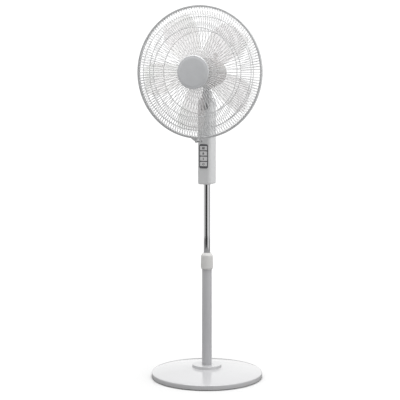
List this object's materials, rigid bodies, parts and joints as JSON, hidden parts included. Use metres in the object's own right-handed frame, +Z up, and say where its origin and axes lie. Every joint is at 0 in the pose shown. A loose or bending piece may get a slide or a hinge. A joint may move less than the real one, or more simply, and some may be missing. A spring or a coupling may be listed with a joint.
{
  "type": "pedestal fan",
  "caption": "Pedestal fan on a round domed base, with a telescopic stand, a key panel on the column and a round wire cage that tilts and swings round a translucent propeller.",
  "frame": {"origin": "on the floor, at the centre of the round base", "axes": "+Z up the stand, the fan blows towards -Y, +X to the right as seen from the front"},
  "size_m": [0.437, 0.38, 1.2595],
  "materials": {
    "gloss_white": "high gloss white moulding",
    "ballast_steel": "raw",
    "black_plastic": "matte",
    "foot_rubber": "matte",
    "zinc_steel": "zinc plated",
    "socket_steel": "pressed steel",
    "tube_paint": "light grey satin paint",
    "nylon": "natural nylon",
    "warm_white": "satin",
    "tube_chrome": "polished",
    "column_grey": "satin light grey",
    "black_rubber": "matte",
    "bezel_grey": "dark grey",
    "key_grey": "light grey with dark mark",
    "capacitor_case": "potted block",
    "neck_grey": "satin",
    "motor_plastic": "satin",
    "cast_alloy": "die cast",
    "laminations": "stacked laminations",
    "copper_wire": "enamelled copper",
    "bronze": "sintered bronze",
    "ground_steel": "ground",
    "blade_clear": "translucent milky white",
    "blade_nut_grey": "satin",
    "wire_grey": "powder coated wire",
    "nut_grey": "satin",
    "badge_silver": "silver grey satin",
    "band_grey": "satin paint"
  },
  "bodies": {
    "stand": {"base_cover": "gloss_white", "base_ballast": "ballast_steel", "base_bottom_cover": "black_plastic", "base_feet": "foot_rubber", "base_screws": "zinc_steel", "tube_socket": "socket_steel", "socket_bolts": "zinc_steel", "lower_tube": "tube_paint", "tube_insert": "zinc_steel", "tube_bolt": "zinc_steel", "collar_collet": "nylon"},
    "collar": {"height_collar": "warm_white"},
    "mast": {"inner_tube": "tube_chrome", "tube_stop": "nylon", "column_front_shell": "column_grey", "column_rear_shell": "column_grey", "tilt_fork": "column_grey", "mast_socket": "black_plastic", "column_screws": "zinc_steel", "cord_gland": "black_rubber", "panel_bezel": "bezel_grey", "switch_block": "black_plastic", "capacitor": "capacitor_case", "tilt_bolt": "zinc_steel", "tilt_nut": "zinc_steel"},
    "off_key": {"key_off": "key_grey"},
    "low_key": {"key_low": "key_grey"},
    "medium_key": {"key_medium": "key_grey"},
    "high_key": {"key_high": "key_grey"},
    "neck": {"tilt_neck": "neck_grey"},
    "head": {"motor_front_cover": "motor_plastic", "motor_rear_cover": "motor_plastic", "front_bell": "cast_alloy", "rear_bell": "cast_alloy", "stator_core": "laminations", "stator_windings": "copper_wire", "front_bearing": "bronze", "rear_bearing": "bronze", "motor_bolts": "zinc_steel", "gearbox_case": "black_plastic", "gearbox_lid": "black_plastic", "rear_grille": "wire_grey", "rear_grille_nut": "nut_grey", "front_grille": "wire_grey", "grille_badge": "badge_silver", "grille_band": "band_grey", "band_screw": "zinc_steel", "band_nut": "zinc_steel"},
    "rotor": {"motor_shaft": "ground_steel", "rotor_core": "laminations", "drive_pin": "ground_steel", "fan_blade": "blade_clear", "blade_nut": "blade_nut_grey"},
    "wheel": {"worm_wheel": "nylon"},
    "clutch": {"clutch_shaft": "ground_steel"},
    "crank": {"crank_gear": "nylon"},
    "link": {"crank_link": "zinc_steel"},
    "knob": {"swing_knob": "warm_white"}
  },
  "joints": [
    {"name": "collar_turn", "type": "hinge", "parent": "stand", "child": "collar", "pos_m": [0, 0, 0.402], "axis": [0, 0, 1], "range_deg": [0, 100]},
    {"name": "mast_slide", "type": "slide", "parent": "stand", "child": "mast", "axis": [0, 0, 1], "range_m": [-0.22, 0]},
    {"name": "off_key_press", "type": "slide", "parent": "mast", "child": "off_key", "axis": [0, 1, 0], "range_m": [0, 0.003], "stiffness_N_per_m": 500, "springref_m": -0.002},
    {"name": "low_key_press", "type": "slide", "parent": "mast", "child": "low_key", "axis": [0, 1, 0], "range_m": [0, 0.003], "stiffness_N_per_m": 500, "springref_m": -0.002},
    {"name": "medium_key_press", "type": "slide", "parent": "mast", "child": "medium_key", "axis": [0, 1, 0], "range_m": [0, 0.003], "stiffness_N_per_m": 500, "springref_m": -0.002},
    {"name": "high_key_press", "type": "slide", "parent": "mast", "child": "high_key", "axis": [0, 1, 0], "range_m": [0, 0.003], "stiffness_N_per_m": 500, "springref_m": -0.002},
    {"name": "head_tilt", "type": "hinge", "parent": "mast", "child": "neck", "pos_m": [0, 0, 0.937], "axis": [1, 0, 0], "range_deg": [-20, 10]},
    {"name": "head_swing", "type": "hinge", "parent": "neck", "child": "head", "pos_m": [0, 0, 0.967], "axis": [0, 0, 1], "range_deg": [-40, 40]},
    {"name": "rotor_spin", "type": "hinge", "parent": "head", "child": "rotor", "pos_m": [0, 0, 1.041], "axis": [0, 1, 0], "continuous": true},
    {"name": "wheel_spin", "type": "hinge", "parent": "head", "child": "wheel", "pos_m": [0.015, 0.047, 1.041], "axis": [0, 0, 1], "continuous": true},
    {"name": "clutch_turn", "type": "hinge", "parent": "head", "child": "clutch", "pos_m": [0.015, 0.047, 1.041], "axis": [0, 0, 1], "range_deg": [-360, 360]},
    {"name": "crank_turn", "type": "hinge", "parent": "head", "child": "crank", "pos_m": [-0.00375, 0.047, 1.007], "axis": [0, 0, 1], "range_deg": [-90, 90]},
    {"name": "link_turn", "type": "hinge", "parent": "neck", "child": "link", "pos_m": [-0.0109, 0, 0.983], "axis": [0, 0, 1], "range_deg": [-40, 40]},
    {"name": "knob_pull", "type": "slide", "parent": "head", "child": "knob", "axis": [0, 0, 1], "range_m": [0, 0.008]}
  ],
  "couplings": [
    {"joint": "wheel_spin", "follows": "rotor_spin", "ratio": 0.041667},
    {"joint": "crank_turn", "follows": "head_swing", "ratio": -2.25},
    {"joint": "clutch_turn", "follows": "head_swing", "ratio": 9},
    {"joint": "link_turn", "follows": "head_swing", "ratio": 1}
  ]
}
